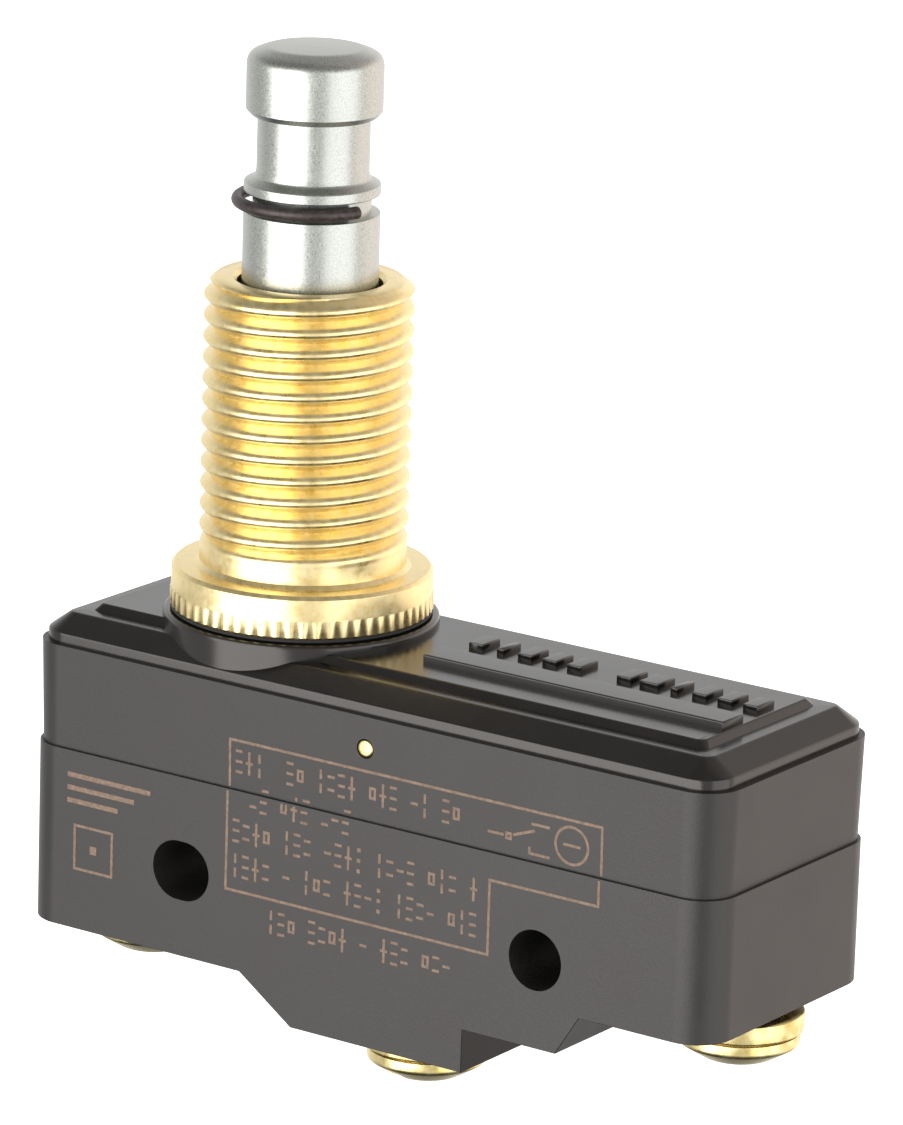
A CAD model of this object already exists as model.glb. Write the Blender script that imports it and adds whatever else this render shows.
"""Looks of a plunger limit switch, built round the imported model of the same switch.

Sizes are in millimetres in the row frame. The bench scales each finished shape to metres.
"""

import logging
import math
from collections.abc import Callable
from dataclasses import dataclass
from enum import Enum

import bmesh
import bpy
from mathutils import Matrix, Vector

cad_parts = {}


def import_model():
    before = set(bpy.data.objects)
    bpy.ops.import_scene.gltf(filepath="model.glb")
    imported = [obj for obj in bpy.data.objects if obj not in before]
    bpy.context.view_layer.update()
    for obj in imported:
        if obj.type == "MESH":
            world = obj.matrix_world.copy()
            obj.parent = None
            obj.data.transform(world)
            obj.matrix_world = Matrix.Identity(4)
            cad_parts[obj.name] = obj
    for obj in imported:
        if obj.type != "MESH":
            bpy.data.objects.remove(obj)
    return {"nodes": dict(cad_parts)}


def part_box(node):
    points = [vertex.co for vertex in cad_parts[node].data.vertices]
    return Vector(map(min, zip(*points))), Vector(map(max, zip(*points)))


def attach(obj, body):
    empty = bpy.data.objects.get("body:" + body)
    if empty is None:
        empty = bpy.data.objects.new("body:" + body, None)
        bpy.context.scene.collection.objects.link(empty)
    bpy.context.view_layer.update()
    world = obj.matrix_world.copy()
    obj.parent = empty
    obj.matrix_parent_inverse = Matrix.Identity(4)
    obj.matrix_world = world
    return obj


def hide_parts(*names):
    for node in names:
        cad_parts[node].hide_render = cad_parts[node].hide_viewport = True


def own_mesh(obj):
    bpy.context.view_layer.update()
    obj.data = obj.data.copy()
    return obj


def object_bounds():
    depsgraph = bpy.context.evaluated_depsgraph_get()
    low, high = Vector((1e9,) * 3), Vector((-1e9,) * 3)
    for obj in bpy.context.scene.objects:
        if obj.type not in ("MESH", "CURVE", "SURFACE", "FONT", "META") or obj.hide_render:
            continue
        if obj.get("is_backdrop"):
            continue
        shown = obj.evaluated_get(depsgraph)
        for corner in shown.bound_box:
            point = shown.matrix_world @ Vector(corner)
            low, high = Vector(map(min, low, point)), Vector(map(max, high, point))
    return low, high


LOG = logging.getLogger("limit_switch")
PER_MM = 1000.0
FULL_TURN = 2 * math.pi
MERGE = 0.001
UP = Vector((0, 0, 1))

Colour = tuple[float, float, float, float]
Profile = list[tuple[float, float]]


class Joining(Enum):
    """How two solids are combined."""

    UNION = "UNION"
    DIFFERENCE = "DIFFERENCE"


def linear(code: str) -> Colour:
    """Turns an sRGB hex value into a linear colour.

    Args:
        code: The value, such as "#c8ccc8".

    Returns:
        Linear red, green and blue, and an alpha of 1.
    """
    channels = [int(code[i:i + 2], 16) / 255 for i in (1, 3, 5)]
    red, green, blue = [
        c / 12.92 if c <= 0.04045 else ((c + 0.055) / 1.055) ** 2.4 for c in channels
    ]
    return red, green, blue, 1.0


def add_node(
    tree: bpy.types.NodeTree,
    kind: str,
    settings: dict[str, object] | None = None,
    sockets: dict[int | str, object] | None = None,
    stops: list[tuple[float, str]] | None = None,
) -> bpy.types.Node:
    """Adds one node with its settings and its links.

    Args:
        tree: The node tree that gets the node.
        kind: The node's type name.
        settings: Properties of the node, by name.
        sockets: Inputs by name or number. A socket is linked, and any other value is set.
        stops: The positions and hex colours of a colour ramp.

    Returns:
        The new node.
    """
    node = tree.nodes.new(kind)
    for name, value in (settings or {}).items():
        setattr(node, name, value)
    for key, value in (sockets or {}).items():
        if isinstance(value, bpy.types.NodeSocket):
            tree.links.new(value, node.inputs[key])
        else:
            node.inputs[key].default_value = value
    if stops:
        elements = node.color_ramp.elements
        while len(elements) < len(stops):
            elements.new(1.0)
        for element, (position, code) in zip(elements, stops):
            element.position = position
            element.color = linear(code)
    return node


# ---------------------------------------------------------------- shapes


def eased(corners: list[tuple[float, float, float]], steps: int = 4) -> Profile:
    """Rounds the corners of a profile.

    Args:
        corners: Radius, height and rounding of each corner, in order.
        steps: How many parts each rounding gets.

    Returns:
        The points of the rounded profile.
    """
    points: Profile = []
    for number, (radius, height, rounding) in enumerate(corners):
        at = Vector((radius, height))
        inner = 0 < number < len(corners) - 1
        if not inner or rounding <= 0:
            points.append((radius, height))
            continue
        before = Vector(corners[number - 1][:2]) - at
        after = Vector(corners[number + 1][:2]) - at
        half_angle = before.angle(after) / 2
        reach = min(rounding / math.tan(half_angle), 0.48 * before.length, 0.48 * after.length)
        start = at + before.normalized() * reach
        stop = at + after.normalized() * reach
        for step in range(steps + 1):
            t = step / steps
            bend = start * (1 - t) ** 2 + at * (2 * t * (1 - t)) + stop * t**2
            points.append((bend.x, bend.y))
    return points


def tidied(shape: bmesh.types.BMesh) -> bmesh.types.BMesh:
    """Merges doubles, drops flat leftovers and turns every face outwards."""
    bmesh.ops.remove_doubles(shape, verts=shape.verts, dist=MERGE)
    bmesh.ops.dissolve_degenerate(shape, dist=MERGE / 2, edges=shape.edges)
    bmesh.ops.recalc_face_normals(shape, faces=shape.faces)
    return shape


def turned(profile: Profile, steps: int = 96) -> bmesh.types.BMesh:
    """Spins a profile about the vertical axis.

    Args:
        profile: Radius and height of each point. One that leaves the axis is closed on itself.
        steps: How many parts the full turn has.

    Returns:
        The turned solid, its axis on the origin.
    """
    shape = bmesh.new()
    verts = [shape.verts.new((radius, 0, height)) for radius, height in profile]
    edges = [shape.edges.new(pair) for pair in zip(verts, verts[1:])]
    if profile[0][0] > 0:
        edges.append(shape.edges.new((verts[-1], verts[0])))
    bmesh.ops.spin(
        shape, geom=verts + edges, cent=(0, 0, 0), axis=UP, angle=FULL_TURN,
        steps=steps, use_merge=True,
    )
    return tidied(shape)


def block(low: Vector, high: Vector, easing: float = 0.0, steps: int = 2) -> bmesh.types.BMesh:
    """Makes a box between two corners.

    Args:
        low: Its lowest corner.
        high: Its highest corner.
        easing: The width of its rounded edges, or zero.
        steps: How many parts each rounded edge has.

    Returns:
        The box.
    """
    shape = bmesh.new()
    bmesh.ops.create_cube(shape, size=1.0)
    bmesh.ops.scale(shape, vec=high - low, verts=shape.verts)
    bmesh.ops.translate(shape, vec=(low + high) / 2, verts=shape.verts)
    if easing > 0:
        bmesh.ops.bevel(
            shape, geom=shape.edges, offset=easing, segments=steps, affect="EDGES",
            profile=0.5, material=-1,
        )
    return shape


def rounded_plan(low: Vector, high: Vector, radius: float, steps: int = 8) -> Profile:
    """Lists the corners of a rounded rectangle seen from above.

    Args:
        low: Its lowest corner.
        high: Its highest corner.
        radius: The rounding of its corners.
        steps: How many parts each corner has.

    Returns:
        Points in X and Y, anticlockwise.
    """
    centres = [
        (high.x - radius, high.y - radius), (low.x + radius, high.y - radius),
        (low.x + radius, low.y + radius), (high.x - radius, low.y + radius),
    ]
    points = []
    for quarter, (x, y) in enumerate(centres):
        for step in range(steps + 1):
            angle = (quarter + step / steps) * math.pi / 2
            points.append((x + radius * math.cos(angle), y + radius * math.sin(angle)))
    return points


def lofted(levels: list[tuple[Profile, float]]) -> bmesh.types.BMesh:
    """Bridges a stack of outlines into a closed solid.

    Args:
        levels: Each outline in plan, and its height, from the lowest up.

    Returns:
        The solid.
    """
    shape = bmesh.new()
    loops = []
    for outline, height in levels:
        verts = [shape.verts.new((x, y, height)) for x, y in outline]
        loops.append([shape.edges.new(pair) for pair in zip(verts, verts[1:] + verts[:1])])
    for lower, upper in zip(loops, loops[1:]):
        bmesh.ops.bridge_loops(shape, edges=lower + upper)
    bmesh.ops.edgeloop_fill(shape, edges=loops[0])
    bmesh.ops.edgeloop_fill(shape, edges=loops[-1])
    return tidied(shape)


def moved(shape: bmesh.types.BMesh, to: Vector, turn: Matrix | None = None) -> bmesh.types.BMesh:
    """Turns a shape about the origin, then moves it.

    Args:
        shape: The shape.
        to: The way it moves.
        turn: A rotation that comes first.

    Returns:
        The same shape.
    """
    if turn is not None:
        bmesh.ops.transform(shape, matrix=turn, verts=shape.verts)
    bmesh.ops.translate(shape, vec=to, verts=shape.verts)
    return shape


def gathered(shapes: list[bmesh.types.BMesh]) -> bmesh.types.BMesh:
    """Puts separate shapes in one, and frees them."""
    result = bmesh.new()
    for shape in shapes:
        mesh = bpy.data.meshes.new("gathered")
        shape.to_mesh(mesh)
        result.from_mesh(mesh)
        bpy.data.meshes.remove(mesh)
        shape.free()
    return result


def eased_edges(
    shape: bmesh.types.BMesh,
    width: float,
    chosen: Callable[[bmesh.types.BMEdge], bool],
    steps: int = 2,
) -> bmesh.types.BMesh:
    """Rounds the outward edges that a test picks.

    Args:
        shape: The shape.
        width: How far the rounding reaches from the edge.
        chosen: The test for an edge.
        steps: How many parts the rounding has.

    Returns:
        The same shape.
    """
    edges = [
        edge for edge in shape.edges
        if len(edge.link_faces) == 2 and edge.is_convex
        and edge.calc_face_angle() > math.radians(28) and chosen(edge)
    ]
    bmesh.ops.bevel(
        shape, geom=edges, offset=width, segments=steps, affect="EDGES", profile=0.5,
        material=-1, clamp_overlap=True,
    )
    return shape


# ---------------------------------------------------------------- finishes


@dataclass(frozen=True)
class Finish:
    """What all finishes share: a name, a slot of the record, and the shader's own values."""

    name: str
    slot: str
    colour: str
    roughness: float
    metallic: float = 0.0
    ior: float = 1.5

    def material(self) -> bpy.types.Material:
        """Gives the finish's material, made the first time it is asked for."""
        made = bpy.data.materials.get(self.name)
        if made is not None:
            return made
        material = bpy.data.materials.new(self.name)
        material.use_nodes = True
        tree = material.node_tree
        shader = tree.nodes["Principled BSDF"]
        shader.inputs["Base Color"].default_value = linear(self.colour)
        shader.inputs["Roughness"].default_value = self.roughness
        shader.inputs["Metallic"].default_value = self.metallic
        if self.metallic < 0.5:
            shader.inputs["IOR"].default_value = self.ior
        self.dress(tree, shader)
        return material

    def dress(self, tree: bpy.types.NodeTree, shader: bpy.types.Node) -> None:
        """Adds the finish's own nodes."""

    def spread(
        self, tree: bpy.types.NodeTree, shader: bpy.types.Node,
        value: bpy.types.NodeSocket, amount: float,
    ) -> None:
        """Varies the roughness about its middle value.

        Args:
            tree: The material's nodes.
            shader: The surface shader.
            value: A pattern from 0 to 1, about one half on average.
            amount: The greatest change each way.
        """
        scaled = add_node(
            tree, "ShaderNodeMapRange", {"clamp": True},
            {
                "Value": value, "From Min": 0.25, "From Max": 0.75,
                "To Min": self.roughness - amount, "To Max": self.roughness + amount,
            },
        )
        tree.links.new(scaled.outputs["Result"], shader.inputs["Roughness"])


@dataclass(frozen=True)
class MouldedPhenolic(Finish):
    """Compression-moulded phenolic resin with wood-flour filler."""

    cloud_mm: float = 5.0
    grain_mm: float = 0.16
    grain_depth_mm: float = 0.004
    pale: str = "#4a4542"
    gloss_tint: str = "#fffaf6"
    rough_change: float = 0.05

    def dress(self, tree: bpy.types.NodeTree, shader: bpy.types.Node) -> None:
        """Gives soft clouds of filler and a fine texture.

        The clouds break up the flat dark colour, and the texture blurs what it reflects.
        """
        place = add_node(tree, "ShaderNodeTexCoord").outputs["Object"]
        clouds = add_node(
            tree, "ShaderNodeTexNoise", {},
            {"Vector": place, "Scale": PER_MM / self.cloud_mm, "Detail": 5.0, "Roughness": 0.6},
        )
        tint = add_node(
            tree, "ShaderNodeValToRGB", {}, {"Fac": clouds.outputs["Fac"]},
            [(0.3, self.colour), (0.72, self.pale)],
        )
        tree.links.new(tint.outputs["Color"], shader.inputs["Base Color"])
        shader.inputs["Specular Tint"].default_value = linear(self.gloss_tint)
        self.spread(tree, shader, clouds.outputs["Fac"], self.rough_change)
        grain = add_node(
            tree, "ShaderNodeTexNoise", {},
            {"Vector": place, "Scale": PER_MM / self.grain_mm, "Detail": 2.0},
        )
        bump = add_node(
            tree, "ShaderNodeBump", {},
            {
                "Height": grain.outputs["Fac"], "Strength": 1.0,
                "Distance": self.grain_depth_mm / PER_MM,
            },
        )
        tree.links.new(bump.outputs["Normal"], shader.inputs["Normal"])


@dataclass(frozen=True)
class TurnedMetal(Finish):
    """Metal turned on a lathe, bright or plated.

    The tool leaves fine rings about the axis, and handling and plating leave a soft speckle.
    """

    axis: tuple[float, float] = (0.0, 0.0)
    worn: str = "#a07828"
    ring_mm: float = 0.18
    ring_depth_mm: float = 0.003
    speck_mm: float = 0.35
    speck_depth_mm: float = 0.003
    rough_change: float = 0.08
    tarnish: tuple[float, float] = (0.35, 0.62)

    def dress(self, tree: bpy.types.NodeTree, shader: bpy.types.Node) -> None:
        """Gives turning rings, a speckle and a slightly uneven colour."""
        place = add_node(tree, "ShaderNodeTexCoord").outputs["Object"]
        centred = add_node(
            tree, "ShaderNodeMapping", {},
            {"Vector": place, "Location": (-self.axis[0] / PER_MM, -self.axis[1] / PER_MM, 0)},
        ).outputs["Vector"]
        flat = add_node(
            tree, "ShaderNodeVectorMath", {"operation": "MULTIPLY"}, {0: centred, 1: (1, 1, 0)},
        ).outputs["Vector"]
        radius = add_node(
            tree, "ShaderNodeVectorMath", {"operation": "LENGTH"}, {0: flat},
        ).outputs["Value"]
        height = add_node(tree, "ShaderNodeSeparateXYZ", {}, {0: centred}).outputs["Z"]
        ringed = add_node(
            tree, "ShaderNodeCombineXYZ", {}, {"X": radius, "Z": height},
        ).outputs["Vector"]
        rings = add_node(
            tree, "ShaderNodeTexNoise", {},
            {"Vector": ringed, "Scale": PER_MM / self.ring_mm, "Detail": 3.0, "Roughness": 0.65},
        ).outputs["Fac"]
        specks = add_node(
            tree, "ShaderNodeTexNoise", {},
            {"Vector": centred, "Scale": PER_MM / self.speck_mm, "Detail": 3.0},
        ).outputs["Fac"]
        tint = add_node(
            tree, "ShaderNodeValToRGB", {}, {"Fac": specks},
            [(self.tarnish[0], self.worn), (self.tarnish[1], self.colour)],
        )
        tree.links.new(tint.outputs["Color"], shader.inputs["Base Color"])
        self.spread(tree, shader, specks, self.rough_change)
        ring_bump = add_node(
            tree, "ShaderNodeBump", {},
            {"Height": rings, "Strength": 1.0, "Distance": self.ring_depth_mm / PER_MM},
        )
        speck_bump = add_node(
            tree, "ShaderNodeBump", {},
            {
                "Height": specks, "Strength": 1.0, "Distance": self.speck_depth_mm / PER_MM,
                "Normal": ring_bump.outputs["Normal"],
            },
        )
        tree.links.new(speck_bump.outputs["Normal"], shader.inputs["Normal"])


@dataclass(frozen=True)
class DrawnMetal(Finish):
    """Wire or strip drawn or rolled to size, with marks of its die."""

    worn: str = "#808080"
    mark_mm: float = 0.4
    mark_depth_mm: float = 0.002

    def dress(self, tree: bpy.types.NodeTree, shader: bpy.types.Node) -> None:
        """Gives short marks and a faint change of shade along the metal."""
        place = add_node(tree, "ShaderNodeTexCoord").outputs["Object"]
        marks = add_node(
            tree, "ShaderNodeTexNoise", {},
            {"Vector": place, "Scale": PER_MM / self.mark_mm, "Detail": 4.0, "Roughness": 0.6},
        ).outputs["Fac"]
        tint = add_node(
            tree, "ShaderNodeValToRGB", {}, {"Fac": marks},
            [(0.3, self.worn), (0.6, self.colour)],
        )
        tree.links.new(tint.outputs["Color"], shader.inputs["Base Color"])
        self.spread(tree, shader, marks, 0.06)
        bump = add_node(
            tree, "ShaderNodeBump", {},
            {"Height": marks, "Strength": 1.0, "Distance": self.mark_depth_mm / PER_MM},
        )
        tree.links.new(bump.outputs["Normal"], shader.inputs["Normal"])


@dataclass(frozen=True)
class SoftPolymer(Finish):
    """Rubber, nylon or a printed film: even in colour with a fine uneven skin."""

    pale: str = "#ffffff"
    skin_mm: float = 0.3
    skin_depth_mm: float = 0.004

    def dress(self, tree: bpy.types.NodeTree, shader: bpy.types.Node) -> None:
        """Gives a faint mottle and a fine skin."""
        place = add_node(tree, "ShaderNodeTexCoord").outputs["Object"]
        skin = add_node(
            tree, "ShaderNodeTexNoise", {},
            {"Vector": place, "Scale": PER_MM / self.skin_mm, "Detail": 3.0},
        ).outputs["Fac"]
        tint = add_node(
            tree, "ShaderNodeValToRGB", {}, {"Fac": skin},
            [(0.35, self.colour), (0.7, self.pale)],
        )
        tree.links.new(tint.outputs["Color"], shader.inputs["Base Color"])
        bump = add_node(
            tree, "ShaderNodeBump", {},
            {"Height": skin, "Strength": 1.0, "Distance": self.skin_depth_mm / PER_MM},
        )
        tree.links.new(bump.outputs["Normal"], shader.inputs["Normal"])


@dataclass(frozen=True)
class FinishSet:
    """The switch's finishes, one for each material of the record and each way it was worked."""

    axis: tuple[float, float]

    def case(self) -> MouldedPhenolic:
        """Satin case moulding: broad soft reflections of its surroundings."""
        return MouldedPhenolic(
            name="phenolic_moulded_satin", slot="case_phenolic", colour="#1c1b1a",
            pale="#262423", roughness=0.43, ior=1.55, grain_mm=0.13, grain_depth_mm=0.008,
        )

    def cap(self) -> MouldedPhenolic:
        """Polished cap moulding: clear reflections on its slopes, dark from above."""
        return MouldedPhenolic(
            name="phenolic_moulded_polished", slot="cap_phenolic", colour="#141211",
            pale="#1c1917", roughness=0.2, ior=1.55, grain_depth_mm=0.0015, rough_change=0.03,
        )

    def bushing(self) -> TurnedMetal:
        """Bright turned brass: rich yellow with orange in its grooves."""
        return TurnedMetal(
            name="brass_turned_bright", slot="bushing_brass", colour="#f7e4b0",
            worn="#f0d898", roughness=0.32, metallic=1.0, axis=self.axis, speck_mm=0.5,
        )

    def screw(self, axis: tuple[float, float]) -> TurnedMetal:
        """Pale cold-headed brass of the terminal screws and washers.

        Args:
            axis: Where the screw's axis is, in X and Y.
        """
        return TurnedMetal(
            name=f"brass_headed_pale_{round(axis[0] - self.axis[0])}", slot="screw_brass",
            colour="#efdfa6", worn="#d9c27c", roughness=0.26, metallic=1.0, axis=axis,
            ring_mm=0.3, speck_mm=0.6,
        )

    def strip(self) -> DrawnMetal:
        """Rolled brass strip of the terminals."""
        return DrawnMetal(
            name="brass_rolled_strip", slot="terminal_brass", colour="#ead597",
            worn="#d2b46a", roughness=0.28, metallic=1.0,
        )

    def plunger(self) -> TurnedMetal:
        """Zinc-plated turned steel: bright, faintly warm, with a fine sparkle."""
        return TurnedMetal(
            name="steel_turned_zinc_plated", slot="plunger_steel", colour="#bec0bb",
            worn="#a6a8a1", roughness=0.32, metallic=1.0, axis=self.axis, speck_mm=0.09,
            speck_depth_mm=0.0035, ring_depth_mm=0.009, ring_mm=0.2, rough_change=0.08,
        )

    def snap_ring(self) -> DrawnMetal:
        """Spring wire blackened by heat and oil."""
        return DrawnMetal(
            name="spring_wire_blackened", slot="ring_steel", colour="#4c4443",
            worn="#332d2c", roughness=0.42, metallic=0.6,
        )

    def spring(self) -> DrawnMetal:
        """Bright drawn spring wire."""
        return DrawnMetal(
            name="spring_wire_bright", slot="spring_steel", colour="#b4b6b6",
            worn="#8b8d8d", roughness=0.3, metallic=1.0,
        )

    def blade(self) -> DrawnMetal:
        """Beryllium copper strip, rolled and hardened."""
        return DrawnMetal(
            name="copper_rolled_hardened", slot="blade_copper", colour="#cf9060",
            worn="#a8683e", roughness=0.3, metallic=1.0,
        )

    def silver(self) -> DrawnMetal:
        """Silver contact rivets, headed and clean."""
        return DrawnMetal(
            name="silver_headed_clean", slot="contact_silver", colour="#e4e3df",
            worn="#bdbcb8", roughness=0.22, metallic=1.0,
        )

    def rubber(self) -> SoftPolymer:
        """Moulded nitrile rubber of the seals."""
        return SoftPolymer(
            name="nitrile_rubber_moulded", slot="seal_rubber", colour="#151414",
            pale="#232121", roughness=0.7,
        )

    def nylon(self) -> SoftPolymer:
        """Moulded nylon of the actuator pin."""
        return SoftPolymer(
            name="nylon_moulded", slot="pin_nylon", colour="#e6e0d0", pale="#f2eee2",
            roughness=0.45, ior=1.53,
        )

    def ink(self) -> SoftPolymer:
        """Pad-printed tan ink, thin and slightly uneven over the moulding."""
        return SoftPolymer(
            name="ink_pad_printed_tan", slot="case_phenolic", colour="#6e5848",
            pale="#86705e", roughness=0.6, skin_mm=0.25,
        )


# ---------------------------------------------------------------- bench


class Bench:
    """Works shapes in millimetres and hands finished objects to the frame."""

    def __init__(self, nodes: dict[str, bpy.types.Object]) -> None:
        """Keeps the frame's nodes at hand."""
        self.nodes = nodes

    def box(self, node: str) -> tuple[Vector, Vector]:
        """Gives a node's lowest and highest corners, in millimetres."""
        low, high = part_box(node)
        return low * PER_MM, high * PER_MM

    def middle(self, node: str) -> Vector:
        """Gives the middle of a node's box, in millimetres."""
        low, high = self.box(node)
        return (low + high) / 2

    def copied(self, node: str) -> bmesh.types.BMesh:
        """Copies a node's solid, merged and with its flat faces whole again."""
        shape = bmesh.new()
        shape.from_mesh(self.nodes[node].data)
        bmesh.ops.scale(shape, vec=(PER_MM,) * 3, verts=shape.verts)
        bmesh.ops.remove_doubles(shape, verts=shape.verts, dist=MERGE)
        bmesh.ops.dissolve_limit(
            shape, angle_limit=math.radians(0.5), verts=shape.verts, edges=shape.edges,
        )
        return shape

    def combined(
        self, body: bmesh.types.BMesh, tool: bmesh.types.BMesh, joining: Joining,
    ) -> bmesh.types.BMesh:
        """Joins a tool to a body, or cuts it away.

        Args:
            body: The shape that is worked.
            tool: The shape that is added or cut away. Both are used up.
            joining: Which of the two is done.

        Returns:
            The result.
        """
        made = []
        for shape in (body, tool):
            mesh = bpy.data.meshes.new("bench")
            shape.to_mesh(mesh)
            shape.free()
            held = bpy.data.objects.new("bench", mesh)
            bpy.context.scene.collection.objects.link(held)
            made.append(held)
        step = made[0].modifiers.new("joining", "BOOLEAN")
        step.object = made[1]
        step.operation = joining.value
        step.solver = "EXACT"
        bpy.context.view_layer.update()
        graph = bpy.context.evaluated_depsgraph_get()
        result = bmesh.new()
        result.from_object(made[0], graph)
        for held in made:
            mesh = held.data
            bpy.data.objects.remove(held)
            bpy.data.meshes.remove(mesh)
        bmesh.ops.remove_doubles(result, verts=result.verts, dist=MERGE)
        bmesh.ops.dissolve_limit(
            result, angle_limit=math.radians(0.5), verts=result.verts, edges=result.edges,
        )
        return result

    def deliver(
        self,
        shape: bmesh.types.BMesh,
        name: str,
        body: str,
        finish: Finish,
        stands_for: tuple[str, ...] = (),
        sharp: float = 35.0,
    ) -> bpy.types.Object:
        """Makes the finished object, dresses it and sets it riding.

        Args:
            shape: The shape in millimetres, which is used up.
            name: The piece's name.
            body: The body it moves with.
            finish: Its finish.
            stands_for: The nodes it replaces.
            sharp: The angle between faces past which an edge looks sharp, in degrees.

        Returns:
            The object.
        """
        bmesh.ops.scale(shape, vec=(1 / PER_MM,) * 3, verts=shape.verts)
        mesh = bpy.data.meshes.new(name)
        shape.to_mesh(mesh)
        shape.free()
        mesh.shade_smooth()
        mesh.set_sharp_from_angle(angle=math.radians(sharp))
        piece = bpy.data.objects.new(name, mesh)
        bpy.context.scene.collection.objects.link(piece)
        weighing = piece.modifiers.new("even_shading", "WEIGHTED_NORMAL")
        weighing.keep_sharp = True
        mesh.materials.append(finish.material())
        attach(piece, body)
        if stands_for:
            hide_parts(*stands_for)
        LOG.info("%s: %d faces, rides on %s", name, len(mesh.polygons), body)
        return piece

    def dress(self, node: str, finish: Finish) -> None:
        """Gives a node of the frame its finish and leaves its shape alone."""
        mesh = self.nodes[node].data
        mesh.materials.clear()
        mesh.materials.append(finish.material())
        LOG.info("%s: keeps its shape, dressed in %s", node, finish.name)


# ---------------------------------------------------------------- sub-assemblies


@dataclass
class MouldedCase:
    """The lower and upper halves of the case, with moulded edges."""

    bench: Bench
    finishes: FinishSet
    lower_easing: float = 0.09
    upper_easing: float = 0.07
    wall: float = 2.3

    def half(self, node: str, easing: float) -> None:
        """Makes one half, with the edges of its outer skin eased.

        Args:
            node: The half's node.
            easing: How far its edges are eased.
        """
        low, high = self.bench.box(node)
        wall = Vector((self.wall, self.wall, 0))
        inner_low, inner_high = low + wall, high - wall

        def outside(edge: bmesh.types.BMEdge) -> bool:
            """Tells whether an edge is on the outer skin."""
            middle = (edge.verts[0].co + edge.verts[1].co) / 2
            return not all(inner_low[axis] < middle[axis] < inner_high[axis] for axis in (0, 1))

        shape = eased_edges(self.bench.copied(node), easing, outside, 3)
        self.bench.deliver(
            shape, f"{node}_moulding", "housing", self.finishes.case(), (node,), 30.0,
        )

    def build(self) -> None:
        """Makes both halves."""
        self.half("lower_case", self.lower_easing)
        self.half("upper_case", self.upper_easing)


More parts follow.
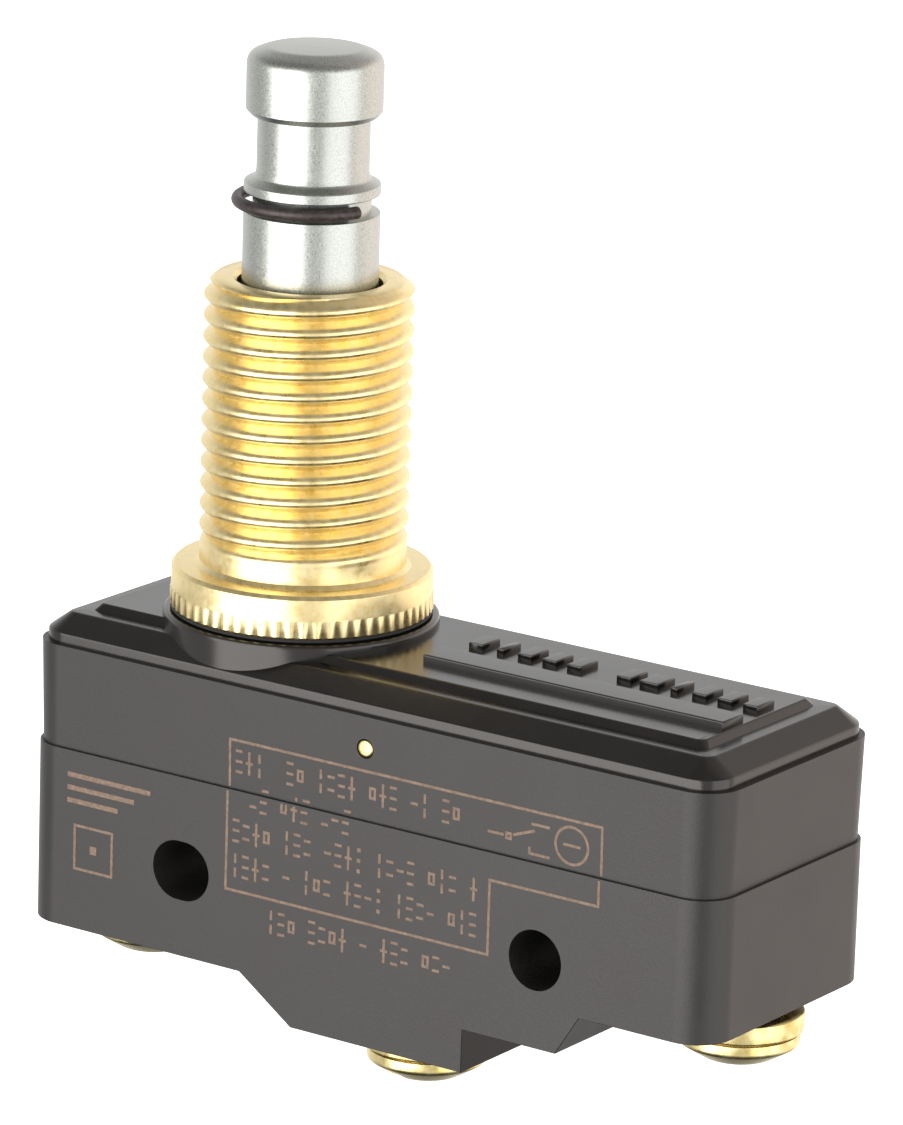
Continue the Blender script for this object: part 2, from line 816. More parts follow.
@dataclass
class TopCap:
    """The polished cap: stepped slopes, a round boss, a raised pad and raised bars."""

    bench: Bench
    finishes: FinishSet
    lip_height: float = 0.65
    ledge_rise: float = 1.65
    plateau_rise: float = 2.1
    boss_rise: float = 2.6
    boss_radius: float = 8.25
    lip_inset: float = 0.4
    ledge_inset: float = 1.75
    ledge_width: float = 1.0
    plateau_inset: float = 3.1
    corner: float = 2.4
    least_corner: float = 0.5
    pad_width: float = 2.2
    pad_height: float = 0.45
    pad_end_gap: float = 3.4
    pad_middle: float = 2.0
    bar_height: float = 0.35
    bar_length: float = 1.9
    bars: tuple[float, ...] = (1.0, 0.5, 1.0, 1.0, 1.0, 0.0, 1.0, 1.3, 0.5, 1.0, 1.0, 1.0)
    edge: float = 0.1
    sharp_height: float = 0.1
    ledge_fall: float = 0.02
    boss_sink: float = 0.3
    boss_easing: float = 0.3
    boss_steps: int = 144
    raised_sink: float = 0.5
    pad_easing: float = 0.12
    bar_easing: float = 0.09
    tongue_half: tuple[float, float] = (1.6, 3.2)
    tongue_sink: float = 0.5
    ring_play: float = 0.15
    spigot_hole: float = 5.55
    cut_below: float = 1.0
    cut_above: float = 2.0
    drill_radius: float = 0.6
    drill_reach: float = 20.0

    def build(self) -> None:
        """Makes the cap."""
        bench = self.bench
        case_low, case_high = bench.box("lower_case")
        seam = bench.box("upper_case")[1].z
        axis = bench.middle("plunger")
        middle_y = (case_low.y + case_high.y) / 2
        start_x = bench.middle("cover_pin").x
        end_x = case_high.x - self.pad_end_gap
        top = seam + self.plateau_rise

        steps = [
            (0.0, self.lip_inset), (self.lip_height, self.lip_inset),
            (self.ledge_rise, self.ledge_inset),
            (self.ledge_rise + self.ledge_fall, self.ledge_inset + self.ledge_width),
            (self.plateau_rise, self.plateau_inset),
        ]
        levels = []
        for rise, inset in steps:
            shift = Vector((inset, inset, 0))
            radius = max(self.corner - inset, self.least_corner)
            outline = rounded_plan(case_low + shift, case_high - shift, radius)
            levels.append((outline, seam + rise))
        slab = lofted(levels)
        sharp_top = seam + self.sharp_height
        slab = eased_edges(slab, self.edge, lambda edge: edge.verts[0].co.z > sharp_top, 3)

        boss_low, boss_top = seam + self.boss_sink, seam + self.boss_rise
        boss = turned(
            eased([
                (0, boss_low, 0), (self.boss_radius, boss_low, 0),
                (self.boss_radius, boss_top, self.boss_easing), (0, boss_top, 0),
            ]),
            self.boss_steps,
        )
        whole = bench.combined(slab, moved(boss, Vector((axis.x, axis.y, 0))), Joining.UNION)

        root = top - self.raised_sink
        pad_y = middle_y - self.pad_middle
        raised = [
            block(
                Vector((start_x, pad_y - self.pad_width / 2, root)),
                Vector((end_x, pad_y + self.pad_width / 2, top + self.pad_height)),
                self.pad_easing, 3,
            ),
        ]
        pitch = (end_x - start_x) / len(self.bars)
        for number, width in enumerate(self.bars):
            if width == 0:
                continue
            x = start_x + pitch * (number + 0.5)
            y = middle_y + self.pad_middle
            half = Vector((width / 2, self.bar_length / 2, 0))
            raised.append(block(
                Vector((x, y, root)) - half, Vector((x, y, top + self.bar_height)) + half,
                self.bar_easing, 2,
            ))
        whole = bench.combined(whole, gathered(raised), Joining.UNION)

        tongue_half = Vector((*self.tongue_half, 0))
        pin_z = bench.middle("cover_pin").z
        tongue = block(
            Vector((start_x, middle_y, bench.box("top_cap")[0].z)) - tongue_half,
            Vector((start_x, middle_y, seam + self.tongue_sink)) + tongue_half,
        )
        whole = bench.combined(whole, tongue, Joining.UNION)
        ring_low, ring_high = bench.box("bushing_ring")
        spigot = bench.box("cap_gasket")[0].z
        recess_radius = (ring_high.x - ring_low.x) / 2 + self.ring_play
        cut_low, cut_high = spigot - self.cut_below, top + self.cut_above
        hollow = turned([
            (0, cut_low), (recess_radius, cut_low), (recess_radius, ring_high.z),
            (self.spigot_hole, ring_high.z), (self.spigot_hole, cut_high), (0, cut_high),
        ], 96)
        whole = bench.combined(
            whole, moved(hollow, Vector((axis.x, axis.y, 0))), Joining.DIFFERENCE,
        )
        reach = self.drill_reach
        drill = turned(
            [(0, -reach), (self.drill_radius, -reach), (self.drill_radius, reach), (0, reach)], 32,
        )
        drill = moved(
            drill, Vector((start_x, middle_y, pin_z)), Matrix.Rotation(math.pi / 2, 4, "X"),
        )
        whole = bench.combined(whole, drill, Joining.DIFFERENCE)
        bench.deliver(
            whole, "top_cap_moulding", "housing", self.finishes.cap(), ("top_cap",), 28.0,
        )


@dataclass
class CoverPin:
    """The small brass pin that shows on the front of the case."""

    bench: Bench
    finishes: FinishSet

    def build(self) -> None:
        """Makes the pin, its ends slightly domed."""
        low, high = self.bench.box("cover_pin")
        radius = (high.x - low.x) / 2
        half = (high.y - low.y) / 2
        profile = eased([
            (0, -half, 0), (radius, -half, 0.2), (radius, half, 0.2), (0, half, 0),
        ])
        pin = moved(
            turned(profile, 40), self.bench.middle("cover_pin"),
            Matrix.Rotation(math.pi / 2, 4, "X"),
        )
        self.bench.deliver(
            pin, "cover_pin_brass", "housing", self.finishes.strip(), ("cover_pin",),
        )


@dataclass
class Bushing:
    """The threaded brass bushing with its knurled flange, and the seal below it."""

    bench: Bench
    finishes: FinishSet
    steps: int = 240
    crest: float = 6.22
    depth: float = 0.62
    pitch: float = 1.27
    tip_radius: float = 5.58
    chamfer: float = 0.5
    shoulder: float = 6.15
    run_out: float = 1.1
    thread_start: float = 3.5
    flange_radius: float = 7.85
    knurl_height: float = 1.1
    knurl_depth: float = 0.1
    teeth: int = 60
    upper_bore: float = 4.3
    lower_bore: float = 4.8
    bore_step: float = 9.4
    spigot: float = 5.5
    rows: int = 12
    crest_power: float = 1.1
    run_out_start: float = 0.2
    flange_height: float = 2.6
    mouth: float = 0.25
    seal_play: float = 0.05

    def thread(self, bottom: float, top: float) -> bmesh.types.BMesh:
        """Winds the thread as one helical skin, open at both ends.

        Args:
            bottom: Where the thread has run out on the shoulder.
            top: The end face of the bushing.

        Returns:
            The skin, its two rims flat and round.
        """
        shape = bmesh.new()
        root = self.crest - self.depth
        turns = math.ceil((top - bottom) / self.pitch) + 2
        verts = []
        for turn in range(turns):
            for row in range(self.rows):
                place = row / self.rows
                rise = math.sin(math.pi * place) ** self.crest_power
                z = bottom + (turn - 1 + place) * self.pitch
                verts.append(shape.verts.new((root + self.depth * rise, 0, z)))
        edges = [shape.edges.new(pair) for pair in zip(verts, verts[1:])]
        bmesh.ops.spin(
            shape, geom=verts + edges, cent=(0, 0, 0), axis=UP, angle=FULL_TURN,
            steps=self.steps, dvec=(0, 0, self.pitch / self.steps), use_merge=False,
        )
        bmesh.ops.remove_doubles(shape, verts=shape.verts, dist=MERGE)
        for vert in shape.verts:
            z = min(max(vert.co.z, bottom), top)
            radius = math.hypot(vert.co.x, vert.co.y)
            part = min(max((z - bottom - self.run_out_start) / self.run_out, 0.0), 1.0)
            part = part * part * (3 - 2 * part)
            wanted = self.shoulder + (radius - self.shoulder) * part
            slope = (self.crest - self.tip_radius) / self.chamfer
            wanted = min(wanted, self.tip_radius + (top - z) * slope)
            vert.co = (vert.co.x * wanted / radius, vert.co.y * wanted / radius, z)
        bmesh.ops.remove_doubles(shape, verts=shape.verts, dist=MERGE)
        return shape

    def body(self, low: Vector, high: Vector, seat: float, thread_bottom: float) -> Profile:
        """Lists the turned profile from the thread's upper rim, through the bore, to its lower rim.

        Args:
            low: The lowest corner of the bushing's box.
            high: The highest corner.
            seat: The flange's lower face.
            thread_bottom: Where the thread has run out.

        Returns:
            Radius and height of each point.
        """
        flange = self.flange_radius
        knurl_top = seat + self.knurl_height
        flange_top = seat + self.flange_height
        return eased([
            (self.tip_radius, high.z, 0), (self.upper_bore + self.mouth, high.z, 0.05),
            (self.upper_bore, high.z - self.mouth, 0.05),
            (self.upper_bore, high.z - self.bore_step, 0),
            (self.lower_bore, high.z - self.bore_step, 0), (self.lower_bore, low.z, 0),
            (self.spigot, low.z, 0), (self.spigot, seat, 0),
            (flange - 0.15, seat, 0), (flange, seat + 0.12, 0),
            (flange, knurl_top - 0.08, 0), (flange - 0.06, knurl_top, 0),
            (flange - 0.06, knurl_top + 0.04, 0),
            (flange - 0.06, flange_top - 0.22, 0.05), (flange - 0.26, flange_top, 0.05),
            (self.shoulder + 0.3, flange_top, 0.06), (self.shoulder + 0.02, flange_top + 0.25, 0),
            (self.shoulder, thread_bottom, 0),
        ], 3)

    def build(self) -> None:
        """Makes the bushing and the seal."""
        bench = self.bench
        low, high = bench.box("bushing")
        seat = bench.box("flange_seal")[1].z
        axis = bench.middle("bushing")
        bottom = seat + self.thread_start
        shape = self.thread(bottom, high.z)
        profile = self.body(low, high, seat, bottom)
        verts = [shape.verts.new((radius, 0, height)) for radius, height in profile]
        edges = [shape.edges.new(pair) for pair in zip(verts, verts[1:])]
        bmesh.ops.spin(
            shape, geom=verts + edges, cent=(0, 0, 0), axis=UP, angle=FULL_TURN,
            steps=self.steps, use_merge=True,
        )
        knurl_low = seat + 0.1
        knurl_high = seat + self.knurl_height - 0.05
        for vert in shape.verts:
            radius = math.hypot(vert.co.x, vert.co.y)
            if radius > self.flange_radius - 0.02 and knurl_low < vert.co.z < knurl_high:
                turn = math.atan2(vert.co.y, vert.co.x) / FULL_TURN
                column = round(turn * self.steps) % (self.steps // self.teeth)
                if column > 1:
                    scale = 1 - self.knurl_depth / radius
                    vert.co = (vert.co.x * scale, vert.co.y * scale, vert.co.z)
        tidied(shape)
        bench.deliver(
            moved(shape, Vector((axis.x, axis.y, 0))), "bushing_threaded", "housing",
            self.finishes.bushing(), ("bushing",), 40.0,
        )

        seal_low, seal_high = bench.box("flange_seal")
        outer = (seal_high.x - seal_low.x) / 2
        inner = self.spigot + self.seal_play
        seal = turned(eased([
            (inner, seal_low.z, 0), (outer - 0.2, seal_low.z, 0),
            (outer, seal_low.z + 0.12, 0.1), (outer - 0.1, seal_high.z, 0),
            (inner, seal_high.z, 0),
        ]), 120)
        bench.deliver(
            moved(seal, Vector((axis.x, axis.y, 0))), "flange_seal_ring", "housing",
            self.finishes.rubber(), ("flange_seal",),
        )


@dataclass
class Plunger:
    """The steel plunger and the dark ring sprung into its groove."""

    bench: Bench
    finishes: FinishSet
    shaft: float = 4.03
    neck: float = 3.32
    groove: float = 3.5
    retainer: float = 4.6
    stem: float = 2.6
    wire: float = 0.75
    ring_inner: float = 3.8
    ring_play: float = 0.2
    ring_gap: float = 82.0
    ring_way: float = 30.0
    ring_easing: float = 0.05
    head_height: float = 4.15
    collar_top: float = 8.13
    collar_low: float = 8.75
    retainer_rise: float = 4.6
    retainer_height: float = 2.0

    def build(self) -> None:
        """Makes the plunger and the ring."""
        bench = self.bench
        low, high = bench.box("plunger")
        axis = bench.middle("bushing")
        ring_low, ring_high = bench.box("snap_ring")
        head_low = high.z - self.head_height
        collar_top = high.z - self.collar_top
        collar_low = high.z - self.collar_low
        retainer_low = low.z + self.retainer_rise
        retainer_top = retainer_low + self.retainer_height
        shaft = self.shaft
        profile = eased([
            (0, low.z, 0), (self.stem - 0.4, low.z, 0), (self.stem, low.z + 0.4, 0),
            (self.stem, retainer_low, 0), (self.retainer, retainer_low, 0.1),
            (self.retainer, retainer_top, 0.1), (shaft, retainer_top, 0),
            (shaft, ring_low.z - 0.16, 0.06), (self.groove, ring_low.z - 0.1, 0),
            (self.groove, collar_low, 0), (shaft, collar_low, 0.1),
            (shaft, collar_top, 0.14), (self.neck + 0.08, collar_top + 0.3, 0.3),
            (self.neck, collar_top + 0.7, 0.2), (self.neck, head_low, 0.08),
            (shaft - 0.32, head_low, 0.06), (shaft, head_low + 0.34, 0.1),
            (shaft, high.z - 0.55, 1.15), (shaft - 1.2, high.z - 0.12, 1.6), (0, high.z, 0),
        ], 6)
        bench.deliver(
            moved(turned(profile, 144), Vector((axis.x, axis.y, 0))), "plunger_turned",
            "plunger", self.finishes.plunger(), ("plunger",), 40.0,
        )

        radius = self.wire / 2
        shape = bmesh.new()
        section = bmesh.ops.create_circle(shape, segments=16, radius=radius)["verts"]
        bmesh.ops.rotate(
            shape, verts=section, cent=(0, 0, 0), matrix=Matrix.Rotation(math.pi / 2, 3, "X"),
        )
        bmesh.ops.translate(shape, verts=section, vec=(self.ring_inner + radius, 0, 0))
        half_gap = math.radians(self.ring_gap / 2)
        way = math.radians(self.ring_way)
        bmesh.ops.rotate(
            shape, verts=shape.verts, cent=(0, 0, 0),
            matrix=Matrix.Rotation(way + half_gap, 3, "Z"),
        )
        bmesh.ops.spin(
            shape, geom=shape.verts[:] + shape.edges[:], cent=(0, 0, 0), axis=UP,
            angle=FULL_TURN - 2 * half_gap, steps=96, use_merge=False,
        )
        bmesh.ops.remove_doubles(shape, verts=shape.verts, dist=MERGE)
        rims = [edge for edge in shape.edges if edge.is_boundary]
        bmesh.ops.holes_fill(shape, edges=rims, sides=0)
        bmesh.ops.recalc_face_normals(shape, faces=shape.faces)
        eased_edges(shape, self.ring_easing, lambda edge: True, 2)
        play = Vector((math.cos(way), math.sin(way), 0)) * self.ring_play
        place = Vector((axis.x, axis.y, (ring_low.z + ring_high.z) / 2)) - play
        bench.deliver(
            moved(shape, place), "snap_ring_wire", "plunger", self.finishes.snap_ring(),
            ("snap_ring",), 50.0,
        )


@dataclass
class TerminalScrew:
    """One terminal screw and the cup washer it carries."""

    bench: Bench
    finishes: FinishSet
    terminal: str
    slot_turn: float
    shank: float = 1.6
    head: float = 3.6
    washer: float = 3.8
    slot_width: float = 1.0
    slot_depth: float = 1.1
    play: float = 0.02
    dish_depth: float = 0.7
    rim_drop: float = 0.65
    dome_height: float = 1.15
    slot_reach: float = 5.0
    slot_below: float = 1.0
    shank_tip: float = 0.5
    hole_play: float = 0.15

    def build(self) -> None:
        """Makes the screw and its washer."""
        bench = self.bench
        screw, washer = f"{self.terminal}_screw", f"{self.terminal}_washer"
        low, high = bench.box(screw)
        cup_low, cup_high = bench.box(washer)
        place = bench.middle(washer)
        axis = Vector((place.x, place.y, 0))
        seat = cup_high.z - self.dish_depth
        rim = seat - self.rim_drop
        tip = self.shank_tip
        profile = eased([
            (0, low.z, 0), (self.head * 0.55, low.z + 0.16, 2.0),
            (self.head, low.z + self.dome_height, 0.35), (self.head, rim, 0.06),
            (self.washer - 0.65, rim, 0), (self.washer - 0.65, seat - self.play, 0),
            (self.shank, seat - self.play, 0),
            (self.shank, high.z - tip, 0), (self.shank - tip, high.z, 0), (0, high.z, 0),
        ], 6)
        body = turned(profile, 96)
        slot = block(
            Vector((-self.slot_reach, -self.slot_width / 2, low.z - self.slot_below)),
            Vector((self.slot_reach, self.slot_width / 2, low.z + self.slot_depth)),
        )
        slot = moved(slot, Vector(), Matrix.Rotation(math.radians(self.slot_turn), 4, "Z"))
        body = bench.combined(body, slot, Joining.DIFFERENCE)
        finish = self.finishes.screw((place.x, place.y))
        bench.deliver(moved(body, axis), f"{screw}_slotted", screw, finish, (screw,), 32.0)

        inner = self.shank + self.hole_play
        cup = turned(eased([
            (inner, seat, 0), (self.washer - 0.5, seat, 0.1),
            (self.washer - 0.32, cup_low.z, 0.08), (self.washer, cup_low.z, 0.12),
            (self.washer, cup_high.z - 0.1, 0.15), (self.washer - 0.25, cup_high.z, 0),
            (inner, cup_high.z, 0),
        ]), 96)
        bench.deliver(moved(cup, axis), f"{washer}_cup", washer, finish, (washer,), 32.0)


class Mark(Enum):
    """The plain marks that a printed row is made of."""

    SQUARE = "s"
    BROKEN_BAR = "i"
    DASH = "d"
    PAIR = "p"
    TRIPLE = "t"
    CROSS = "c"
    DOTS = "o"
    SPACE = " "


@dataclass
class FrontMarking:
    """Generic pad-printed marking: an outline, rows of plain marks and simple diagrams."""

    bench: Bench
    finishes: FinishSet
    stroke: float = 0.17
    proud: float = 0.012
    sunk: float = 0.01
    mark_width: float = 0.5
    mark_height: float = 1.45
    mark_pitch: float = 0.74
    face_inset: float = 0.2
    rows: tuple[tuple[float, float, str], ...] = (
        (-9.3, 7.55, "tci  ts iptc sct di ts"),
        (-8.1, 5.45, "pt sct pdt"),
        (-9.3, 3.35, "tpcs itp dtco ipdt sip c"),
        (-9.3, 1.2, "itcp d isp ctdo itpd sit"),
        (-6.6, -1.75, "its tpsc d ctp spd"),
    )

    def build(self) -> None:
        """Prints the marking on the front of both halves."""
        bench = self.bench
        self.front = bench.box("lower_case")[0].y
        upper_low, upper_high = bench.box("upper_case")
        self.seam = upper_low.z
        self.upper_top = upper_high.z
        self.upper_back = upper_low.y - self.front
        self.middle = bench.middle("cover_pin").x
        self.strokes: list[bmesh.types.BMesh] = []
        self.outline()
        for x, z, row in self.rows:
            self.row(self.middle + x, z, row)
        self.contact_diagram(self.middle + 8.7, 7.0)
        self.ring_sign(self.middle + 14.5, 7.3, 1.2)
        self.left_signs()
        shape = gathered(self.strokes)
        for vert in shape.verts:
            vert.co.y += self.set_back(vert.co.z)
        bench.deliver(shape, "front_marking_ink", "housing", self.finishes.ink())

    def set_back(self, z: float) -> float:
        """Gives how far the face stands behind the lower half's front at a height."""
        if z < self.seam:
            return 0.0
        rise = (z - self.seam) / (self.upper_top - self.seam)
        return self.face_inset * (1 - rise) + self.upper_back * rise

    def patch(self, x0: float, x1: float, z0: float, z1: float) -> None:
        """Prints a rectangle, in two parts where it crosses the seam.

        Args:
            x0: Its left side.
            x1: Its right side.
            z0: Its lower side.
            z1: Its upper side.
        """
        gap = 0.12
        spans = [(z0, z1)]
        if z0 < self.seam + gap and z1 > self.seam - gap:
            spans = [(z0, self.seam - gap), (self.seam + gap, z1)]
        for low, high in spans:
            if high - low > 0.05:
                self.strokes.append(block(
                    Vector((x0, self.front - self.proud, low)),
                    Vector((x1, self.front + self.sunk, high)),
                ))

    def across(self, x0: float, x1: float, z: float) -> None:
        """Prints a level stroke between two places."""
        self.patch(x0, x1, z - self.stroke / 2, z + self.stroke / 2)

    def upright(self, x: float, z0: float, z1: float) -> None:
        """Prints an upright stroke between two heights."""
        self.patch(x - self.stroke / 2, x + self.stroke / 2, z0, z1)

    def frame(self, x0: float, x1: float, z0: float, z1: float) -> None:
        """Prints the outline of a rectangle, its strokes just clear of each other."""
        reach = self.stroke / 2 + 0.002
        self.across(x0 - self.stroke / 2, x1 + self.stroke / 2, z0)
        self.across(x0 - self.stroke / 2, x1 + self.stroke / 2, z1)
        self.upright(x0, z0 + reach, z1 - reach)
        self.upright(x1, z0 + reach, z1 - reach)

    def outline(self) -> None:
        """Prints the stepped outline round the rows."""
        left, right = self.middle - 9.72, self.middle + 16.55
        inner = self.middle + 9.07
        top, step, bottom = 8.82, 4.15, -0.36
        half = self.stroke / 2
        clear = half + 0.002
        self.across(left - half, right + half, top)
        self.upright(left, bottom + clear, top - clear)
        self.across(left - half, inner + half, bottom)
        self.upright(inner, bottom + clear, step - clear)
        self.across(inner - half, right + half, step)
        self.upright(right, step + clear, top - clear)

    def row(self, x: float, z: float, pattern: str) -> None:
        """Prints a row of plain marks.

        Args:
            x: Where it starts.
            z: The middle of its height.
            pattern: One letter for each mark.
        """
        for number, letter in enumerate(pattern):
            self.mark(Mark(letter), x + number * self.mark_pitch, z)

    def mark(self, mark: Mark, x: float, z: float) -> None:
        """Prints one mark.

        Args:
            mark: Which mark.
            x: Its left side.
            z: The middle of its height.
        """
        half = self.stroke / 2
        left, right = x + half, x + self.mark_width - half
        middle = (left + right) / 2
        reach = self.mark_height / 2 - half
        if mark is Mark.SQUARE:
            self.frame(left, right, z - 0.3, z + 0.3)
        elif mark is Mark.BROKEN_BAR:
            self.upright(middle, z + 0.14, z + reach + half)
            self.upright(middle, z - reach - half, z - 0.14)
        elif mark is Mark.CROSS:
            self.upright(middle, z - reach - half, z - half - 0.002)
            self.upright(middle, z + half + 0.002, z + reach + half)
            self.across(left - half, right + half, z)
        elif mark is Mark.DOTS:
            for rise in (-reach, 0.0, reach):
                self.patch(middle - 0.12, middle + 0.12, z + rise - 0.12, z + rise + 0.12)
        else:
            levels = {Mark.DASH: (0.0,), Mark.PAIR: (-0.4, 0.4), Mark.TRIPLE: (-reach, 0.0, reach)}
            for rise in levels.get(mark, ()):
                self.across(left - half, right + half, z + rise)

    def contact_diagram(self, x: float, z: float) -> None:
        """Prints a plain change-over contact diagram.

        Args:
            x: Its left side.
            z: The middle of its height.
        """
        self.across(x, x + 1.1, z)
        self.frame(x + 1.3, x + 1.6, z - 0.15, z + 0.15)
        lever = block(
            Vector((0, self.front - self.proud, -self.stroke / 2)),
            Vector((1.6, self.front + self.sunk, self.stroke / 2)),
        )
        slope = Matrix.Rotation(math.radians(-20), 4, "Y")
        self.strokes.append(moved(lever, Vector((x + 1.75, 0, z + 0.12)), slope))
        self.across(x + 3.0, x + 4.3, z + 1.05)
        self.across(x + 3.0, x + 4.3, z - 0.75)
        self.upright(x + 2.9, z - 0.83, z - 0.35)

    def ring_sign(self, x: float, z: float, radius: float) -> None:
        """Prints a ring with a bar in it.

        Args:
            x: Its middle.
            z: The middle of its height.
            radius: Its outer radius.
        """
        ring = turned([
            (radius - self.stroke, -self.sunk), (radius, -self.sunk), (radius, self.proud),
            (radius - self.stroke, self.proud),
        ], 48)
        self.strokes.append(moved(
            ring, Vector((x, self.front, z)), Matrix.Rotation(math.pi / 2, 4, "X"),
        ))
        self.across(x - 0.6, x + 0.6, z)

    def left_signs(self) -> None:
        """Prints the plain signs on the left: bars that shorten, and a square with a dot."""
        left = self.middle - 21.6
        for number, length in enumerate((6.2, 5.0, 3.8)):
            z = 4.3 - number * 0.8
            self.patch(left, left + length, z - 0.15, z + 0.15)
        self.frame(left + 0.6, left + 3.4, -1.5, 1.2)
        self.patch(left + 1.75, left + 2.25, -0.4, 0.1)


@dataclass
class OvertravelSpring:
    """The round-wire spring between the drive cup and the plunger's retainer."""

    bench: Bench
    finishes: FinishSet
    turns: float = 5.5
    wire: float = 0.8
    travel: float = 4.0
    steps_each_turn: int = 40

    def build(self) -> None:
        """Winds the spring and lets it shorten as the plunger goes down."""
        bench = self.bench
        low, high = bench.box("overtravel_spring")
        axis = bench.middle("overtravel_spring")
        rise = high.z - low.z - self.wire
        steps = round(self.turns * self.steps_each_turn)
        shape = bmesh.new()
        section = bmesh.ops.create_circle(
            shape, cap_ends=True, segments=16, radius=self.wire / 2,
            matrix=Matrix.Rotation(math.pi / 2, 4, "X"),
        )["verts"]
        reach = (high.x - low.x - self.wire) / 2
        bmesh.ops.translate(shape, verts=section, vec=(reach, 0, 0))
        bmesh.ops.spin(
            shape, geom=shape.faces[:], cent=(0, 0, 0), axis=UP,
            angle=FULL_TURN * self.turns, steps=steps, dvec=(0, 0, rise / steps),
        )
        wound = moved(tidied(shape), Vector((axis.x, axis.y, low.z + self.wire / 2)))
        spring = bench.deliver(
            wound, "overtravel_spring_wound", "housing", self.finishes.spring(),
            ("overtravel_spring",), 50.0,
        )
        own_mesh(spring)


@dataclass
class InnerWorks:
    """The hidden pieces, which keep their shape from the frame."""

    bench: Bench
    finishes: FinishSet

    def build(self) -> None:
        """Dresses each hidden piece."""
        finishes = self.finishes
        dressing: dict[str, Finish] = {
            "case_dowel_left": finishes.strip(), "case_dowel_right": finishes.strip(),
            "bushing_ring": finishes.spring(), "cap_gasket": finishes.rubber(),
            "drive_cup": finishes.spring(),
            "actuator_pin": finishes.nylon(), "com_terminal": finishes.strip(),
            "no_terminal": finishes.strip(), "nc_terminal": finishes.strip(),
            "blade_anchor": finishes.strip(), "snap_blade": finishes.blade(),
            "moving_contact": finishes.silver(), "no_contact": finishes.silver(),
            "nc_contact": finishes.silver(),
        }
        for node, finish in dressing.items():
            self.bench.dress(node, finish)


# ---------------------------------------------------------------- studio


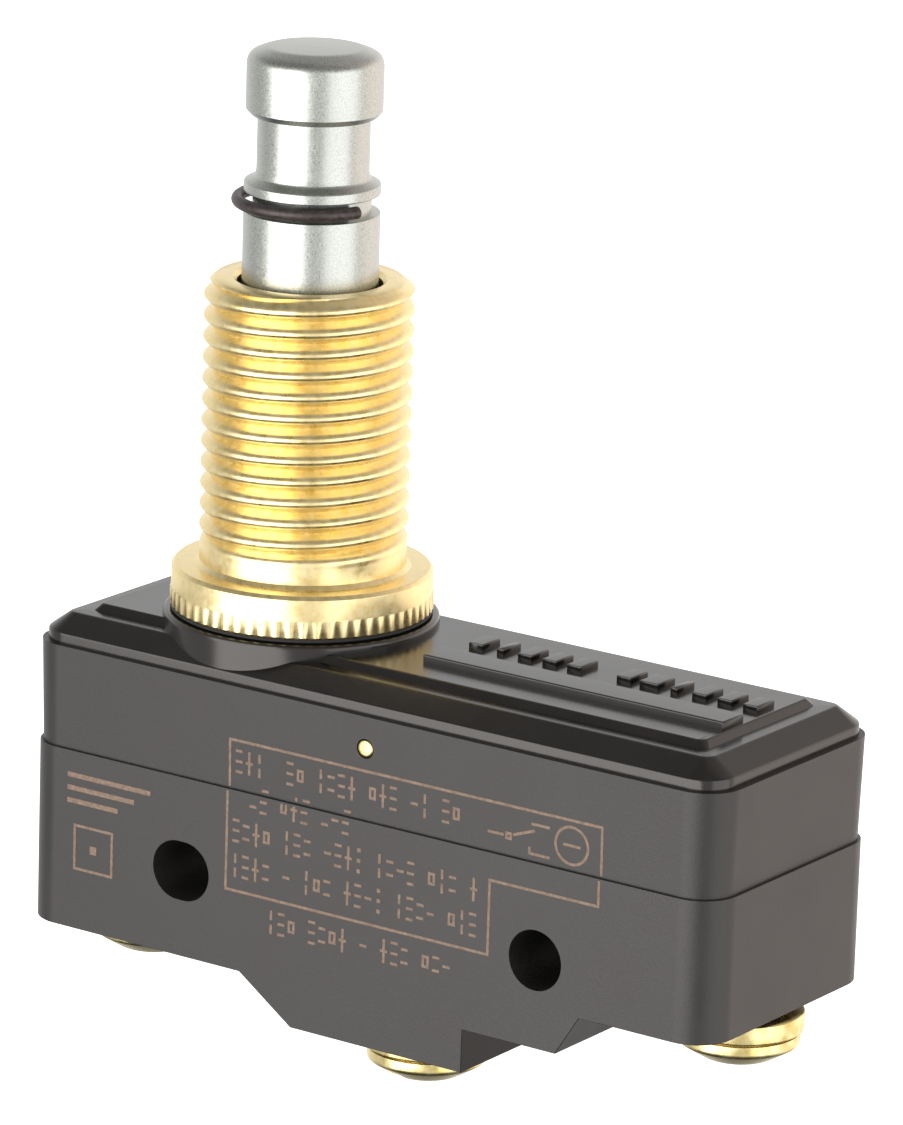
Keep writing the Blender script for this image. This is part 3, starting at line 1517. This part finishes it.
@dataclass
class Studio:
    """A pale floor, soft light and the camera."""

    low: Vector
    azimuth: float = 34.53
    elevation: float = 15.59
    distance: float = 407.03
    roll: float = 1.834
    lens: float = 222.68
    aim: tuple[float, float, float] = (-0.145, -8.725, 18.881)
    shift: tuple[float, float] = (0.00267, 0.00827)
    light_distance: float = 400.0
    floor_half: float = 3.0
    floor_gap: float = 0.0002

    def direction(self, turn: float, height: float) -> Vector:
        """Gives the way from the switch at an angle round from the camera and above the floor."""
        around = math.radians(self.azimuth + turn)
        above = math.radians(height)
        return Vector((
            math.sin(around) * math.cos(above), -math.cos(around) * math.cos(above),
            math.sin(above),
        ))

    def camera(self) -> None:
        """Places the camera."""
        data = bpy.data.cameras.new("camera")
        data.lens = self.lens
        data.sensor_width = 36.0
        data.shift_x, data.shift_y = self.shift
        data.clip_start = 0.01
        data.clip_end = 20.0
        held = bpy.data.objects.new("camera", data)
        bpy.context.scene.collection.objects.link(held)
        out = self.direction(0, self.elevation)
        held.location = (Vector(self.aim) + out * self.distance) / PER_MM
        turn = (-out).to_track_quat("-Z", "Y").to_matrix()
        turn = turn @ Matrix.Rotation(math.radians(self.roll), 3, "Z")
        held.rotation_euler = turn.to_euler()
        bpy.context.scene.camera = held

    def softbox(self, name: str, turn: float, size: tuple[float, float], power: float) -> None:
        """Hangs a tall soft light beside the camera.

        Args:
            name: The light's name.
            turn: Its angle round from the camera, in degrees.
            size: Its width and height, in millimetres.
            power: Its power in watts.
        """
        data = bpy.data.lights.new(name, "AREA")
        data.shape = "RECTANGLE"
        data.size, data.size_y = size[0] / PER_MM, size[1] / PER_MM
        data.energy = power
        held = bpy.data.objects.new(name, data)
        bpy.context.scene.collection.objects.link(held)
        out = self.direction(turn, 0)
        held.location = (Vector(self.aim) + out * self.light_distance) / PER_MM
        held.rotation_euler = (-out).to_track_quat("-Z", "Z").to_euler()
        held.visible_camera = False

    def floor(self) -> None:
        """Lays a plain pale floor."""
        shape = bmesh.new()
        bmesh.ops.create_grid(shape, x_segments=1, y_segments=1, size=self.floor_half)
        level = self.low.z / PER_MM - self.floor_gap
        bmesh.ops.translate(shape, verts=shape.verts, vec=(0, 0, level))
        mesh = bpy.data.meshes.new("floor")
        shape.to_mesh(mesh)
        shape.free()
        held = bpy.data.objects.new("floor", mesh)
        bpy.context.scene.collection.objects.link(held)
        material = bpy.data.materials.new("paper_white_matt")
        material.use_nodes = True
        shader = material.node_tree.nodes["Principled BSDF"]
        shader.inputs["Base Color"].default_value = linear("#f4f4f2")
        shader.inputs["Roughness"].default_value = 0.9
        shader.inputs["Emission Color"].default_value = (1, 1, 1, 1)
        shader.inputs["Emission Strength"].default_value = 1.0
        mesh.materials.append(material)
        held.visible_glossy = False
        held.visible_diffuse = False
        held.visible_shadow = False
        held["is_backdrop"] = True

    def world(self) -> None:
        """Surrounds the switch with a pale room that is darker overhead and behind the camera."""
        world = bpy.data.worlds.new("room")
        bpy.context.scene.world = world
        world.use_nodes = True
        tree = world.node_tree
        tree.nodes.clear()
        way = add_node(tree, "ShaderNodeTexCoord").outputs["Generated"]
        height = add_node(tree, "ShaderNodeSeparateXYZ", {}, {0: way}).outputs["Z"]
        ahead = add_node(
            tree, "ShaderNodeVectorMath", {"operation": "DOT_PRODUCT"},
            {0: way, 1: self.direction(0, 0)},
        ).outputs["Value"]
        aside = add_node(
            tree, "ShaderNodeVectorMath", {"operation": "DOT_PRODUCT"},
            {0: way, 1: self.direction(90, 0)},
        ).outputs["Value"]
        turn = add_node(
            tree, "ShaderNodeMath", {"operation": "ARCTAN2"}, {0: aside, 1: ahead},
        ).outputs["Value"]
        around = add_node(
            tree, "ShaderNodeMapRange", {},
            {"Value": turn, "From Min": -math.pi, "From Max": math.pi},
        ).outputs["Result"]
        ring = add_node(
            tree, "ShaderNodeValToRGB", {}, {"Fac": around},
            [
                (0.0, "#cacaca"), (0.13, "#bcbcbc"), (0.19, "#a0a0a0"), (0.27, "#a0a0a0"),
                (0.36, "#a4a4a4"), (0.5, "#b0b0b0"), (0.72, "#b8b8b8"), (0.79, "#ece2dc"),
                (0.84, "#ece2dc"), (1.0, "#cacaca"),
            ],
        ).outputs["Color"]
        above = add_node(
            tree, "ShaderNodeMapRange", {}, {"Value": height, "From Min": -1.0, "From Max": 1.0},
        ).outputs["Result"]
        dome = add_node(
            tree, "ShaderNodeValToRGB", {}, {"Fac": above},
            [
                (0.0, "#404346"), (0.12, "#5a5e62"), (0.3, "#ffffff"), (0.66, "#ffffff"),
                (0.8, "#b4b4b4"), (1.0, "#a0a0a0"),
            ],
        ).outputs["Color"]
        room = add_node(
            tree, "ShaderNodeVectorMath", {"operation": "MULTIPLY"}, {0: ring, 1: dome},
        ).outputs["Vector"]
        seen = add_node(tree, "ShaderNodeLightPath").outputs["Is Camera Ray"]
        lit = add_node(tree, "ShaderNodeBackground", {}, {"Color": room, "Strength": 1.9})
        plain = add_node(
            tree, "ShaderNodeBackground", {}, {"Color": (1, 1, 1, 1), "Strength": 1.05},
        )
        mixed = add_node(
            tree, "ShaderNodeMixShader", {},
            {0: seen, 1: lit.outputs[0], 2: plain.outputs[0]},
        )
        add_node(tree, "ShaderNodeOutputWorld", {}, {"Surface": mixed.outputs[0]})

    def build(self) -> None:
        """Sets up the whole studio."""
        self.camera()
        self.softbox("softbox_left", -45.0, (480, 440), 2.1)
        self.softbox("softbox_right", 50.5, (440, 440), 0.8)
        self.floor()
        self.world()
        bpy.context.scene.view_settings.view_transform = "Standard"


def main() -> None:
    """Builds the switch's looks, piece by piece."""
    logging.basicConfig(level=logging.INFO, format="%(name)s: %(message)s")
    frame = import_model()
    cad_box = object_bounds()
    bench = Bench(frame["nodes"])
    axis = bench.middle("bushing")
    finishes = FinishSet(axis=(axis.x, axis.y))
    Studio(cad_box[0] * PER_MM).build()
    MouldedCase(bench, finishes).build()
    TopCap(bench, finishes).build()
    CoverPin(bench, finishes).build()
    Bushing(bench, finishes).build()
    Plunger(bench, finishes).build()
    FrontMarking(bench, finishes).build()
    for terminal, slot_turn in (("com", 35.0), ("no", 80.0), ("nc", 15.0)):
        TerminalScrew(bench, finishes, terminal, slot_turn).build()
    OvertravelSpring(bench, finishes).build()
    InnerWorks(bench, finishes).build()


if __name__ == "__main__":
    main()
